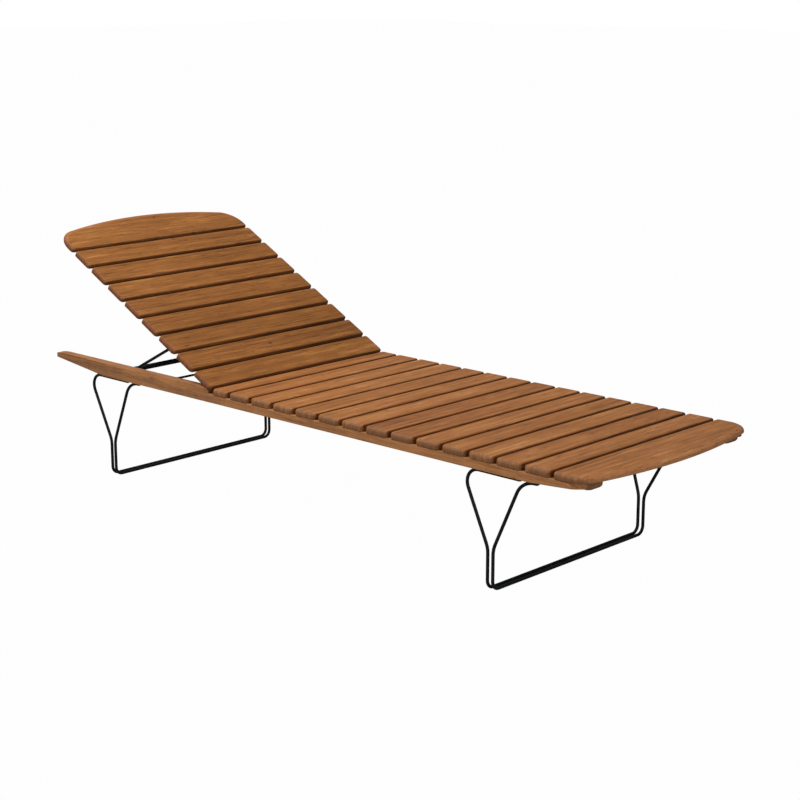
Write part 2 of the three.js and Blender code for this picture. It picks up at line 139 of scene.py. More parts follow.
class Sock:
    """A shader socket or a number, joined by Math nodes through ordinary operators."""

    def __init__(self, graph: Graph, value: "bpy.types.NodeSocket | float") -> None:
        """Wraps an output socket or a plain number.

        Args:
            graph: The node tree that new nodes go into.
            value: The socket or number.
        """
        self.graph = graph
        self.value = value

    def math(self, operation: str, other: "Sock | float") -> "Sock":
        """Adds a Math node.

        Args:
            operation: The node's operation.
            other: The second input.

        Returns:
            The node's output.
        """
        made = self.graph.node("ShaderNodeMath", {"operation": operation}, {0: self, 1: other})
        return Sock(self.graph, made.outputs[0])

    def __add__(self, other: "Sock | float") -> "Sock":
        """Adds."""
        return self.math("ADD", other)

    def __sub__(self, other: "Sock | float") -> "Sock":
        """Subtracts."""
        return self.math("SUBTRACT", other)

    def __rsub__(self, other: float) -> "Sock":
        """Subtracts this from a number."""
        return Sock(self.graph, other) - self

    def __mul__(self, other: "Sock | float") -> "Sock":
        """Multiplies."""
        return self.math("MULTIPLY", other)

    __radd__ = __add__
    __rmul__ = __mul__

    def ramp(self, low: float, high: float, start: float = 0.0, end: float = 1.0) -> "Sock":
        """Maps a range smoothly onto another and holds it there.

        Args:
            low: The value that gives start.
            high: The value that gives end.
            start: The result at low.
            end: The result at high.

        Returns:
            The mapped value.
        """
        limits = {"From Min": low, "From Max": high, "To Min": start, "To Max": end}
        made = self.graph.node(
            "ShaderNodeMapRange", {"interpolation_type": "SMOOTHSTEP"}, {"Value": self, **limits},
        )
        return Sock(self.graph, made.outputs["Result"])

    def between(self, first: "Sock | Rgba", second: "Sock | Rgba") -> "Sock":
        """Mixes two colours by this share.

        Args:
            first: The colour at zero.
            second: The colour at one.

        Returns:
            The mixed colour.
        """
        # The Mix node's colour sockets come after those for numbers and for vectors.
        made = self.graph.node(
            "ShaderNodeMix", {"data_type": "RGBA"}, {"Factor": self, 6: first, 7: second},
        )
        return Sock(self.graph, made.outputs[2])


@dataclass(frozen=True)
class Pattern:
    """Noise stretched along the axes, whole or only the range of it that shows."""

    scale: tuple[float, float, float]
    detail: float
    roughness: float = 0.55
    shown: tuple[float, float] | None = None


class Shader:
    """A material with one Principled surface, and the few nodes that the finishes use."""

    def __init__(self, name: str) -> None:
        """Makes the material.

        Args:
            name: The material's name.
        """
        self.material = bpy.data.materials.new(name)
        self.material.use_nodes = True
        self.graph = Graph(self.material.node_tree)
        self.surface = self.material.node_tree.nodes["Principled BSDF"]

    def put(self, name: str, value: object) -> None:
        """Gives one of the surface's inputs a link or a value.

        Args:
            name: The input's name.
            value: The link or value.
        """
        self.graph.feed(value, self.surface.inputs[name])

    def attribute(self, name: str, output: str = "Fac") -> Sock:
        """Reads one of the piece's own attributes."""
        made = self.graph.node("ShaderNodeAttribute", {"attribute_name": name})
        return Sock(self.graph, made.outputs[output])

    def noise(self, vector: Sock, pattern: Pattern) -> Sock:
        """Smooth noise over a vector.

        Args:
            vector: Where the noise is read.
            pattern: How it is stretched and how fine it is.

        Returns:
            The noise, from zero to one.
        """
        stretched = self.graph.node(
            "ShaderNodeVectorMath", {"operation": "MULTIPLY"}, {0: vector, 1: pattern.scale},
        )
        fineness = {"Scale": 1.0, "Detail": pattern.detail, "Roughness": pattern.roughness}
        made = self.graph.node("ShaderNodeTexNoise", inputs={"Vector": stretched.outputs[0], **fineness})
        whole = Sock(self.graph, made.outputs["Fac"])
        return whole.ramp(*pattern.shown) if pattern.shown else whole

    def bump(self, height: Sock, strength: float, distance: float) -> None:
        """Gives the surface relief.

        Args:
            height: The relief.
            strength: Its share.
            distance: Its depth in metres.
        """
        relief = {"Strength": strength, "Distance": distance, "Height": height}
        self.put("Normal", self.graph.node("ShaderNodeBump", inputs=relief).outputs[0])


@dataclass(frozen=True)
class Bamboo:
    """Oiled bamboo pressed from long strands: fine lines, thin dark dashes, a few pale strands, painted shade
    and a painted highlight.
    """

    name: str
    light: Rgba
    rosy: Rgba
    middle: Rgba
    dark: Rgba
    end_grain: Rgba
    strand: Pattern = Pattern((12.0, 520.0, 420.0), 4.0, 0.6)
    band: Pattern = Pattern((1.6, 85.0, 70.0), 3.0)
    cloud: Pattern = Pattern((3.5, 9.0, 9.0), 2.0)
    dash: Pattern = Pattern((22.0, 430.0, 330.0), 2.0, shown=(0.575, 0.66))
    knot: Pattern = Pattern((38.0, 110.0, 90.0), 1.0, shown=(0.71, 0.77))
    tint: Pattern = Pattern((3.0, 60.0, 50.0), 2.0, shown=(0.4, 0.6))
    blocks: Pattern = Pattern((210.0, 190.0, 24.0), 1.0)
    block_range: tuple[float, float] = (0.34, 0.62)
    dark_range: tuple[float, float] = (0.2, 0.5)
    light_range: tuple[float, float] = (0.5, 0.8)
    strand_share: float = 1.0
    band_share: float = 0.46
    cloud_share: float = 0.25
    tone_share: float = 0.09
    dash_share: float = 0.5
    knot_share: float = 0.6
    # Painted shade: how far edges facing the gaps, and upward rail faces, are darkened towards the dark
    # colour.
    painted_shade_share: float = 0.32
    # Painted highlight: how far the bowed board's rolled nose is lightened towards rosy.
    nose_highlight_share: float = 0.45
    end_least: float = 0.45
    rough_range: tuple[float, float] = (0.5, 0.66)
    rough_noise: tuple[float, float] = (0.2, 0.8)
    rough_end: float = 0.2
    specular: float = 0.25
    strand_relief: float = 0.7
    band_relief: float = 0.3
    dash_relief: float = 0.3
    relief_strength: float = 0.3
    relief_depth: float = 0.4 * MM

    def material(self) -> bpy.types.Material:
        """Builds the material from the piece's grain vector, its tone and end shares, and its painted shade
        and nose highlight shares.

        Returns:
            The material.
        """
        shader = Shader(self.name)
        grain = shader.attribute("grain", "Vector")
        tone, end, gap, nose = (shader.attribute(name) for name in ("tone", "end", "gap", "nose"))
        patterns = (self.strand, self.band, self.cloud, self.dash, self.knot, self.tint, self.blocks)
        strand, band, cloud, dash, knot, tint, blocks = (shader.noise(grain, one) for one in patterns)

        shade = (strand - 0.5) * self.strand_share + (band - 0.5) * self.band_share
        shade = shade + (cloud - 0.5) * self.cloud_share + (tone - 0.5) * self.tone_share + 0.5
        lower = shade.ramp(*self.dark_range).between(self.dark, self.middle)
        upper = shade.ramp(*self.light_range).between(lower, tint.between(self.light, self.rosy))
        # Painted highlight on the bowed board's rolled nose, mixed towards the rosy colour.
        rubbed_and_highlit = (nose * self.nose_highlight_share).between(upper, self.rosy)
        marked = (dash * self.dash_share + knot * self.knot_share).between(rubbed_and_highlit, self.dark)
        sawn = end * blocks.ramp(*self.block_range, self.end_least, 1.0)
        ends = sawn.between(marked, self.end_grain)
        # Painted shade: edges facing the gaps between slats, and upward rail faces, are mixed towards the
        # dark colour.
        shader.put("Base Color", (gap * self.painted_shade_share).between(ends, self.dark))

        rough = strand.ramp(*self.rough_noise, *self.rough_range)
        shader.put("Roughness", rough + end * self.rough_end)
        shader.put("Specular IOR Level", self.specular)
        relief = strand * self.strand_relief + band * self.band_relief - dash * self.dash_relief
        shader.bump(relief, self.relief_strength, self.relief_depth)
        return shader.material


@dataclass(frozen=True)
class BlackSteel:
    """Satin black coated steel with a fine orange peel and rubbed spots."""

    name: str = "satin_black_coating"
    base: Rgba = linear(14, 17, 18)
    rubbed: Rgba = linear(24, 27, 28)
    peel: Pattern = Pattern((900.0, 900.0, 900.0), 2.0)
    patch: Pattern = Pattern((38.0, 38.0, 38.0), 4.0, 0.6)
    rubbed_range: tuple[float, float] = (0.56, 0.74)
    rough_noise: tuple[float, float] = (0.3, 0.7)
    rough_range: tuple[float, float] = (0.42, 0.58)
    specular: float = 0.12
    relief_strength: float = 0.08
    relief_depth: float = 0.1 * MM

    def material(self) -> bpy.types.Material:
        """Builds the material.

        Returns:
            The material.
        """
        shader = Shader(self.name)
        place = Sock(shader.graph, shader.graph.node("ShaderNodeTexCoord").outputs["Object"])
        patch = shader.noise(place, self.patch)
        rubbed_and_highlit = patch.ramp(*self.rubbed_range)
        shader.put("Base Color", rubbed_and_highlit.between(self.base, self.rubbed))
        shader.put("Roughness", patch.ramp(*self.rough_noise, *self.rough_range))
        shader.put("Specular IOR Level", self.specular)
        shader.bump(shader.noise(place, self.peel), self.relief_strength, self.relief_depth)
        return shader.material


def make_mesh(name: str, points: np.ndarray, faces: list, smooth: bool = True) -> bpy.types.Object:
    """Puts points and faces into a new object at the origin.

    Args:
        name: The object's name.
        points: One row of X, Y and Z for each vertex.
        faces: The faces' vertex numbers.
        smooth: Whether the faces are shaded smooth.

    Returns:
        The object.
    """
    mesh = bpy.data.meshes.new(name)
    mesh.from_pydata(points.tolist(), [], faces)
    mesh.polygons.foreach_set("use_smooth", np.full(len(mesh.polygons), smooth))
    mesh.validate()
    piece = bpy.data.objects.new(name, mesh)
    bpy.context.scene.collection.objects.link(piece)
    return piece


def ring_faces(rings: int, around: int) -> list:
    """Quads between rings of points, each ring closed on itself, and a flat cap at both ends.

    Args:
        rings: How many rings there are.
        around: How many points each ring has.

    Returns:
        The faces' vertex numbers, facing out where the rings turn anticlockwise and climb.
    """
    low = np.arange(rings - 1)[:, None] * around
    here = np.arange(around)[None, :]
    following = (here + 1) % around
    quads = np.stack([low + here, low + following, low + around + following, low + around + here], axis=-1)
    bottom = np.arange(around)[::-1]
    top = (rings - 1) * around + np.arange(around)
    return [*quads.reshape(-1, 4).tolist(), bottom.tolist(), top.tolist()]


def store(piece: bpy.types.Object, name: str, values: np.ndarray) -> None:
    """Writes a number or a vector for each vertex.

    Args:
        piece: The object.
        name: The attribute's name.
        values: One number or row for each vertex.
    """
    kind, key = ("FLOAT_VECTOR", "vector") if values.ndim == 2 else ("FLOAT", "value")
    attribute = piece.data.attributes.new(name, kind, "POINT")
    attribute.data.foreach_set(key, values.astype(np.float32).ravel())


@dataclass
class Grain:
    """Gives each wooden piece its grain vector, its tone and its share of end grain."""

    seed: int = 11
    spread: float = 40.0
    tones: tuple[float, float] = (0.05, 0.95)
    count: int = 0

    def give(
        self, piece: bpy.types.Object, local: np.ndarray, end: np.ndarray, tone: np.ndarray | None = None,
    ) -> None:
        """Stores the attributes, shifted at random so that no two pieces are alike.

        Args:
            piece: The object.
            local: Places along the grain, across it and through the thickness.
            end: One where the end grain shows, zero elsewhere.
            tone: The tone from zero to one, or nothing for one chosen at random.
        """
        dice = np.random.default_rng(self.seed + self.count)
        self.count += 1
        store(piece, "grain", local + dice.uniform(-self.spread, self.spread, 3))
        chosen = dice.uniform(*self.tones)
        store(piece, "tone", np.full(len(local), chosen) if tone is None else tone)
        store(piece, "end", end)


@dataclass(frozen=True)
class Placement:
    """A turn about Y and then a move, as the backrest has."""

    turn: float = 0.0
    move: tuple[float, float, float] = (0.0, 0.0, 0.0)

    def matrix(self) -> np.ndarray:
        """The turn as a matrix."""
        cosine, sine = math.cos(self.turn), math.sin(self.turn)
        return np.array([[cosine, 0, sine], [0, 1, 0], [-sine, 0, cosine]])

    def apply(self, points: np.ndarray) -> np.ndarray:
        """Turns and moves points.

        Args:
            points: Rows of X, Y and Z.

        Returns:
            The placed points.
        """
        return points @ self.matrix().T + np.array(self.move)

    def undo(self, points: np.ndarray) -> np.ndarray:
        """Takes placed points back to the piece's own frame."""
        return (points - np.array(self.move)) @ self.matrix()


@dataclass(frozen=True)
class Board:
    """A slat: a flat board across the lounger, rounder at its ends, rolled over widely along a bow."""

    start: float
    end: float
    half_length: float
    thickness: float
    edge_radius: float = 4 * MM
    end_radius: float = 8 * MM
    corner_radius: float = 8.5 * MM
    bow_drop: float = 10.5 * MM
    bow_inset: float = 20 * MM
    lower_ease: float = 0.9 * MM
    bow_rise_under: float = 5 * MM
    bow_tuck_under: float = 14 * MM
    bow_rise: float = 0.0
    bow_corner: float = 0.0
    rim: float = 0.6 * MM
    end_start: float = 1.1
    end_reach_share: float = 0.9
    painted_shade_reach_share: float = 0.85
    corner_steps: int = 8
    bow_steps: int = 48
    edge_steps: int = 9

    def arc(
        self, centre: tuple[float, float], radius: float, turn: tuple[float, float], steps: int,
        swell: tuple[float, float] = (0, 0),
    ) -> np.ndarray:
        """Places round an arc with the directions that face out: centre plus radius times cosine and sine.

        Args:
            centre: The centre's X and Y.
            radius: The arc's radius.
            turn: The first and the last angle.
            steps: How many steps it takes.
            swell: The share of the bow's edge at the first and the last place.

        Returns:
            Rows of X, Y, outward X, outward Y and the share of the bow's edge.
        """
        angle = np.linspace(*turn, steps + 1)
        outward = np.stack([np.cos(angle), np.sin(angle)], axis=1)
        share = np.linspace(*swell, steps + 1)[:, None]
        return np.hstack([outward * radius + np.array(centre), outward, share])

    def outline(self) -> np.ndarray:
        """The board's plan: four round corners, or two large ones with a bow between at its end.

        Returns:
            Rows of X, Y, outward X, outward Y and the share of the bow's edge, anticlockwise.
        """
        quarter = math.pi / 2
        small, steps = self.corner_radius, self.corner_steps
        side = self.half_length - small
        head = (
            self.arc((self.start + small, -side), small, (math.pi, math.pi + quarter), steps),
            self.arc((self.start + small, side), small, (quarter, math.pi), steps),
        )
        if not self.bow_rise:
            x = self.end - small
            foot = [
                self.arc((x, -side), small, (-quarter, 0), steps),
                self.arc((x, side), small, (0, quarter), steps),
            ]
        else:
            radius = (self.half_length**2 + self.bow_rise**2) / (2 * self.bow_rise)
            corner = self.half_length - self.bow_corner
            reach = radius - self.bow_corner
            sweep = math.asin(corner / reach)
            bow = self.end - radius
            x = bow + reach * math.cos(sweep)
            steps = self.bow_steps // 2
            foot = [
                self.arc((x, -corner), self.bow_corner, (-quarter, -sweep), steps, (0, 1)),
                self.arc((bow, 0), radius, (-sweep, sweep), self.bow_steps, (1, 1))[1:-1],
                self.arc((x, corner), self.bow_corner, (sweep, quarter), steps, (1, 0)),
            ]
        return np.vstack([head[0], *foot, head[1]])

    def rings(self, outline: np.ndarray) -> tuple[np.ndarray, np.ndarray]:
        """The rings' heights and insets: an eased lower edge, then an elliptical quarter to the upper face.

        Args:
            outline: The board's plan.

        Returns:
            The heights and the insets, one row for each ring and one column for each place.
        """
        facing, swell = np.abs(outline[:, 3]), outline[:, 4]
        radius = self.edge_radius + facing * (self.end_radius - self.edge_radius)
        drop = radius + swell * (self.bow_drop - radius)
        inset = radius + swell * (self.bow_inset - radius)
        rise = self.lower_ease + swell * (self.bow_rise_under - self.lower_ease)
        tuck = self.lower_ease + swell * (self.bow_tuck_under - self.lower_ease)
        turn = np.linspace(0, math.pi / 2, self.edge_steps)[:, None]
        bottom, top = np.zeros_like(inset), np.full_like(inset, self.thickness)
        under = turn[:-1]
        lower = rise * (1 - np.cos(under))
        upper = self.thickness - drop * (1 - np.sin(turn))
        tucked, drawn = tuck * (1 - np.sin(under)), inset * (1 - np.cos(turn))
        inward = np.vstack([tuck + self.rim, tucked, drawn, inset + self.rim])
        return np.vstack([bottom, lower, upper, top]), inward

    def build(self, name: str, grain: Grain, placement: Placement, flip: bool = False) -> bpy.types.Object:
        """Makes the board: every ring is the outline drawn in along its outward directions.

        Args:
            name: The object's name.
            grain: What gives the board its grain.
            placement: Where the board goes.
            flip: Whether its end faces the other way, towards the head.

        Returns:
            The object.
        """
        outline = self.outline()
        heights, insets = self.rings(outline)
        flat = outline[None, :, :2] - insets[:, :, None] * outline[None, :, 2:4]
        points = np.concatenate([flat, heights[:, :, None]], axis=2).reshape(-1, 3)
        if flip:
            points = points * np.array([-1, -1, 1])
        piece = make_mesh(name, placement.apply(points), ring_faces(*heights.shape))
        local = points[:, [1, 0, 2]]
        end_fall = (insets / (self.end_reach_share * self.end_radius)) ** 2
        end = np.abs(outline[:, 3]) ** 2 * np.clip(self.end_start - end_fall, 0, 1)
        grain.give(piece, local, end.ravel())
        # Painted shade on the long edges that face the gaps between slats, fading inward from the edge.
        painted_shade_fall = insets / (self.painted_shade_reach_share * self.edge_radius)
        gap = outline[:, 2] ** 2 * (1 - outline[:, 4]) * np.clip(1 - painted_shade_fall, 0, 1)
        store(piece, "gap", gap.ravel())
        # Painted highlight on the bowed nose of an end board, fading inward over the roll-over.
        nose = outline[:, 4] * np.clip(1 - insets / self.bow_inset, 0, 1)
        store(piece, "nose", nose.ravel())
        return piece


@dataclass(frozen=True)
class Bend:
    """A corner of a rod's centre line and the radius that it is bent on."""

    place: tuple[float, float, float]
    radius: float = 0.0


@dataclass(frozen=True)
class Wire:
    """A round rod bent at its corners."""

    corners: tuple[Bend, ...]
    diameter: float
    sides: int = 20
    turn_step: float = math.radians(7)
    least_stops: int = 3
    ease_share: float = 0.12

    def centre_line(self) -> tuple[np.ndarray, np.ndarray]:
        """The centre line: straight runs, and at each corner an arc tangent to both of its runs.

        Returns:
            The places and the unit directions along the rod.
        """
        places = [np.array(bend.place) for bend in self.corners]
        run = [(after - before) / np.linalg.norm(after - before) for before, after in zip(places, places[1:])]
        stops, along = [places[0][None]], [run[0][None]]
        for corner, bend, before, after in zip(places[1:], self.corners[1:-1], run, run[1:]):
            angle = math.acos(float(np.clip(before @ after, -1, 1)))
            axis = np.cross(before, after) / np.linalg.norm(np.cross(before, after))
            inward = np.cross(axis, before)
            start = corner - before * bend.radius * math.tan(angle / 2)
            count = max(self.least_stops, math.ceil(angle / self.turn_step) + 1)
            turned = np.linspace(0, angle, count)[:, None]
            stops.append(start + bend.radius * (np.sin(turned) * before + (1 - np.cos(turned)) * inward))
            along.append(np.cos(turned) * before + np.sin(turned) * inward)
        stops.append(places[-1][None])
        along.append(run[-1][None])
        return np.vstack(stops), np.vstack(along)

    def build(self, name: str) -> bpy.types.Object:
        """Makes the rod: a circle carried along the centre line, square to it, with rounded ends.

        Args:
            name: The object's name.

        Returns:
            The object.
        """
        stops, along = self.centre_line()
        radius = np.full(len(stops), self.diameter / 2)
        ease = self.diameter * self.ease_share
        inner = (stops[:1] + along[:1] * ease, stops[1:-1], stops[-1:] - along[-1:] * ease)
        stops = np.vstack([stops[:1], *inner, stops[-1:]])
        along = np.vstack([along[:1], along[:1], along[1:-1], along[-1:], along[-1:]])
        radius = np.concatenate([[radius[0] - ease], radius, [radius[-1] - ease]])
        across = np.zeros_like(along)
        across[0] = np.cross(along[0], np.roll(along[0], 1))
        across[0] /= np.linalg.norm(across[0])
        for stop in range(1, len(along)):
            carried = across[stop - 1] - along[stop] * (across[stop - 1] @ along[stop])
            across[stop] = carried / np.linalg.norm(carried)
        up = np.cross(along, across)
        angle = np.linspace(0, 2 * math.pi, self.sides, endpoint=False)[None, :, None]
        circle = np.cos(angle) * across[:, None] + np.sin(angle) * up[:, None]
        points = stops[:, None] + radius[:, None, None] * circle
        return make_mesh(name, points.reshape(-1, 3), ring_faces(len(stops), self.sides))


def merged_copy(node: str, name: str, smooth_angle: float = math.radians(38)) -> bpy.types.Object:
    """Copies a CAD node with its triangles merged and its flat faces joined.

    Args:
        node: The CAD node's name.
        name: The new object's name.
        smooth_angle: Edges sharper than this stay sharp.

    Returns:
        The copy.
    """
    mesh = frame["nodes"][node].data.copy()
    work = bmesh.new()
    work.from_mesh(mesh)
    bmesh.ops.remove_doubles(work, verts=work.verts, dist=MERGE_DISTANCE)
    bmesh.ops.dissolve_limit(work, angle_limit=FLAT_ANGLE, verts=work.verts, edges=work.edges)
    for edge in work.edges:
        edge.smooth = len(edge.link_faces) == 2 and edge.calc_face_angle(0) < smooth_angle
    for face in work.faces:
        face.smooth = True
    work.to_mesh(mesh)
    work.free()
    mesh.name = name
    mesh.materials.clear()
    piece = bpy.data.objects.new(name, mesh)
    bpy.context.scene.collection.objects.link(piece)
    weighted = piece.modifiers.new("even_shading", "WEIGHTED_NORMAL")
    weighted.keep_sharp = True
    weighted.weight = NORMAL_WEIGHT
    return piece


def joint_place(name: str) -> tuple[float, float, float]:
    """Where a joint of the frame lies."""
    return next(joint for joint in frame["joints"] if joint["name"] == name)["pos_m"]


def seat_piece(
    piece: bpy.types.Object, node: str, body: Body, material: bpy.types.Material,
) -> None:
    """Dresses a finished piece and lets it stand for its CAD node.

    Args:
        piece: The object.
        node: The CAD node that it replaces.
        body: The body that it rides on.
        material: Its material.
    """
    piece.data.materials.clear()
    piece.data.materials.append(material)
    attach(piece, body.value)
    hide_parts(node)
    LOG.info("%s rides on %s", piece.name, body.value)


@dataclass
class Seat:
    """The seat slats, the last of them bowed at the foot."""

    grain: Grain
    material: bpy.types.Material
    count: int = 15
    bow_rise: float = 40 * MM
    bow_corner: float = 55 * MM

    def build(self) -> None:
        """Makes each slat where its CAD node lies."""
        for number in range(1, self.count + 1):
            node = f"seat_slat_{number}"
            low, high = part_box(node)
            bowed = number == self.count
            board = Board(
                start=low[0],
                end=high[0],
                half_length=high[1],
                thickness=high[2] - low[2],
                bow_rise=self.bow_rise if bowed else 0.0,
                bow_corner=self.bow_corner if bowed else 0.0,
            )
            piece = board.build(f"seat_board_{number}", self.grain, Placement(move=(0, 0, low[2])))
            seat_piece(piece, node, Body.FRAME, self.material)


@dataclass
class Backrest:
    """The backrest slats and the two battens under them."""

    grain: Grain
    slat_material: bpy.types.Material
    batten_material: bpy.types.Material
    angle: float = BACK_ANGLE
    count: int = 9
    pitch: float = 78.5 * MM
    width: float = 68.5 * MM
    toe: float = 12.7 * MM
    underside: float = 13.3 * MM
    thickness: float = 13 * MM
    half_length: float = 316 * MM
    head_reach: float = 118.4 * MM
    bow_rise: float = 43.2 * MM
    bow_corner: float = 70 * MM
    batten_end: float = 1 * MM
    batten_end_share: float = 0.5

    def placement(self, height: float) -> Placement:
        """The backrest's own frame at a height over the hinge, square to the slats.

        Args:
            height: The height over the hinge.

        Returns:
            The placement.
        """
        hinge = joint_place("backrest_hinge")
        lift = np.array([math.sin(self.angle), 0, math.cos(self.angle)]) * height
        return Placement(turn=self.angle, move=tuple((np.array(hinge) + lift).tolist()))

    def build(self) -> None:
        """Makes the slats and dresses the battens."""
        placement = self.placement(self.underside)
        for index in range(self.count):
            foot = self.toe - index * self.pitch
            bowed = index + 1 == self.count
            board = Board(
                start=-foot,
                end=self.head_reach - foot if bowed else self.width - foot,
                half_length=self.half_length,
                thickness=self.thickness,
                bow_rise=self.bow_rise if bowed else 0.0,
                bow_corner=self.bow_corner if bowed else 0.0,
            )
            piece = board.build(f"back_board_{index + 1}", self.grain, placement, flip=True)
            seat_piece(piece, f"back_slat_{index + 1}", Body.BACKREST, self.slat_material)
        for side in ("near", "far"):
            self.dress_batten(side)

    def dress_batten(self, side: str) -> None:
        """Gives a batten its grain along its length.

        Args:
            side: Near or far.
        """
        node = f"batten_{side}"
        piece = merged_copy(node, f"back_batten_{side}")
        points = self.placement(0.0).undo(vertex_places(piece))
        along = points[:, 0]
        to_ends = np.minimum(np.abs(along - along.min()), np.abs(along - along.max()))
        self.grain.give(piece, points, (to_ends < self.batten_end).astype(float) * self.batten_end_share)
        seat_piece(piece, node, Body.BACKREST, self.batten_material)


def vertex_places(piece: bpy.types.Object) -> np.ndarray:
    """Reads every vertex's place.

    Args:
        piece: The object.

    Returns:
        Rows of X, Y and Z.
    """
    flat = np.empty(len(piece.data.vertices) * 3)
    piece.data.vertices.foreach_get("co", flat)
    return flat.reshape(-1, 3)


@dataclass
class Rails:
    """The two side rails, and the notched racks and foot blocks inside them."""

    grain: Grain
    material: bpy.types.Material
    head_tone: float = 0.3
    foot_tone: float = 0.4
    end_reach: float = 3 * MM
    nodes: tuple[str, ...] = (
        "rail_near", "rail_far", "rack_near", "rack_far", "foot_block_near", "foot_block_far",
    )

    def build(self) -> None:
        """Dresses each strip with its grain along X and painted shade on its upward faces."""
        for node in self.nodes:
            piece = merged_copy(node, f"side_{node}")
            points = vertex_places(piece)
            low, high = points[:, 0].min(), points[:, 0].max()
            end = (points[:, 0] < low + self.end_reach) | (points[:, 0] > high - self.end_reach)
            tone = self.head_tone + (points[:, 0] - low) / (high - low) * (self.foot_tone - self.head_tone)
            self.grain.give(piece, points[:, [0, 2, 1]], end.astype(float), tone)
            # Painted shade on every upward face, such as the rails' tops, darkened as if in the backrest's
            # shadow.
            facing = np.array([vertex.normal.z for vertex in piece.data.vertices])
            store(piece, "gap", np.clip(facing, 0, 1))
            seat_piece(piece, node, Body.FRAME, self.material)


@dataclass
class Hardware:
    """The hinge bolts, the sleeves and the stop rod."""

    material: bpy.types.Material
    rod_corner: float = 22 * MM
    rod_inset: float = 6 * MM
    rod_socket: float = 8 * MM
    smooth_angle: float = math.radians(50)

    def build(self) -> None:
        """Dresses each steel fitting and bends the stop rod."""
        for node in (f"hinge_{kind}_{side}" for kind in ("bolt", "sleeve") for side in ("near", "far")):
            piece = merged_copy(node, f"fitting_{node}", self.smooth_angle)
            seat_piece(piece, node, Body.FRAME, self.material)
        low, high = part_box("stop_rod")
        diameter = high[2] - low[2]
        height, end = (low[2] + high[2]) / 2, high[1]
        head, foot = low[0] + diameter / 2, high[0] - diameter / 2
        plane = end - self.rod_socket - self.rod_inset
        corners = [
            [Bend((head, sign * end, height)),
             Bend((head, sign * plane, height), self.rod_inset),
             Bend((foot, sign * plane, height), self.rod_corner)]
            for sign in (-1, 1)
        ]
        rod = Wire((*corners[0], *corners[1][::-1]), diameter).build("stop_wire")
        seat_piece(rod, "stop_rod", Body.FRAME, self.material)


@dataclass
class Prop:
    """The folding bail that holds the backrest up: a bar and two bent arms."""

    material: bpy.types.Material
    angle: float = BACK_ANGLE
    pivot_reach: float = 192.3 * MM
    bar_diameter: float = 14 * MM
    bar_sides: int = 32
    arm_diameter: float = 8 * MM
    arm_place: float = 266 * MM
    arm_stub: float = 17 * MM
    arm_bend: float = 7 * MM
    socket_depth: float = 5 * MM

    def build(self) -> None:
        """Makes the bar and the arms in the prop's own frame and puts them in place."""
        pivot = joint_place("prop_pivot")
        placement = Placement(turn=-self.angle, move=tuple(pivot))
        low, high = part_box("prop_bar")
        ends = placement.apply(np.array([[-self.pivot_reach, y, 0] for y in (low[1], high[1])]))
        run = tuple(Bend(tuple(end)) for end in ends)
        bar = Wire(run, self.bar_diameter, sides=self.bar_sides).build("prop_cross_bar")
        seat_piece(bar, "prop_bar", Body.PROP, self.material)
        end = self.pivot_reach - self.bar_diameter / 2 + self.socket_depth
        for side, sign in (("near", -1), ("far", 1)):
            corners = placement.apply(np.array([
                [0, sign * (self.arm_place - self.arm_stub), 0],
                [0, sign * self.arm_place, 0],
                [-end, sign * self.arm_place, 0],
            ]))
            bends = [Bend(tuple(corner), radius) for corner, radius in zip(corners, (0, self.arm_bend, 0))]
            arm = Wire(tuple(bends), self.arm_diameter).build(f"prop_wire_{side}")
            seat_piece(arm, f"prop_arm_{side}", Body.PROP, self.material)


@dataclass(frozen=True)
class LegRod:
    """One rod's own sizes, from the leg's middle."""

    end: float
    shoulder: float
    shoulder_bend: float
    neck: float


@dataclass
class Legs:
    """The wire legs: two rods side by side across the floor that part above the neck."""

    material: bpy.types.Material
    diameter: float = 8 * MM
    top_plane: float = 301.5 * MM
    foot_plane: float = 285.7 * MM
    foot_bend: float = 20 * MM
    neck_height: float = 100 * MM
    neck_bend: float = 60 * MM
    peg_rise: float = 22 * MM
    peg_bend: float = 10 * MM
    head: LegRod = LegRod(102 * MM, -75 * MM, 36 * MM, -7.75 * MM)
    foot: LegRod = LegRod(150 * MM, 101 * MM, 60 * MM, 7.75 * MM)

    def side(self, rod: LegRod, sign: int, x: float, peg_top: float) -> list[Bend]:
        """One side of a rod, from its peg in the rail down to the floor.

        Args:
            rod: The rod's sizes.
            sign: Minus one for the near side, one for the far side.
            x: The leg's place along the lounger.
            peg_top: The height of the peg's end.

        Returns:
            The corners in order.
        """
        run = peg_top - self.peg_rise
        return [
            Bend((x + rod.end, sign * self.top_plane, peg_top)),
            Bend((x + rod.end, sign * self.top_plane, run), self.peg_bend),
            Bend((x + rod.shoulder, sign * self.top_plane, run), rod.shoulder_bend),
            Bend((x + rod.neck, sign * self.foot_plane, self.neck_height), self.neck_bend),
            Bend((x + rod.neck, sign * self.foot_plane, self.diameter / 2), self.foot_bend),
        ]

    def build(self) -> None:
        """Makes both rods of both legs."""
        for leg in ("rear", "front"):
            for kind, rod in (("head", self.head), ("foot", self.foot)):
                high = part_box(f"{leg}_leg_{kind}_rod")[1]
                x = high[0] - self.diameter / 2 - rod.end
                near = self.side(rod, -1, x, high[2])
                far = self.side(rod, 1, x, high[2])
                piece = Wire((*near, *far[::-1]), self.diameter).build(f"{leg}_wire_{kind}")
                seat_piece(piece, f"{leg}_leg_{kind}_rod", Body.FRAME, self.material)


